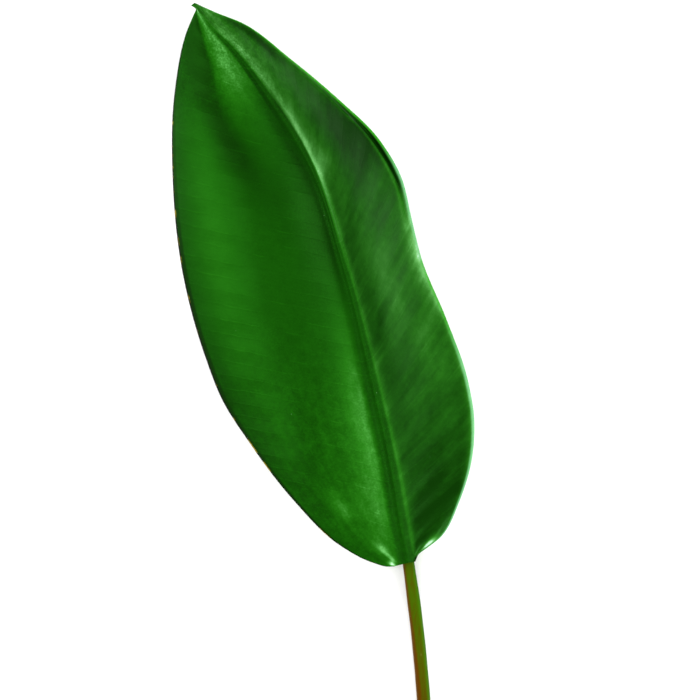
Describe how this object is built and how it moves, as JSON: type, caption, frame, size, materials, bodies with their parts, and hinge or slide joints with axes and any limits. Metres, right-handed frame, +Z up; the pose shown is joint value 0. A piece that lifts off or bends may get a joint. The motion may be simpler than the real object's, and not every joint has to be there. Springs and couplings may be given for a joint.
{
  "type": "ficus leaf",
  "caption": "Large glossy leaf of a rubber-plant ficus with its stalk, folded along the midrib and lying face up.",
  "frame": {"origin": "on the surface that the leaf lies on, under the middle of the leaf's box", "axes": "+Z up out of the upper face, +Y from the stalk towards the tip, +X to the right as the leaf is looked at from above"},
  "size_m": [0.1206, 0.2847, 0.0343],
  "materials": {
    "blade": "glossy",
    "petiole": "satin"
  },
  "bodies": {
    "root": {"blade": "blade", "petiole": "petiole"}
  },
  "joints": []
}
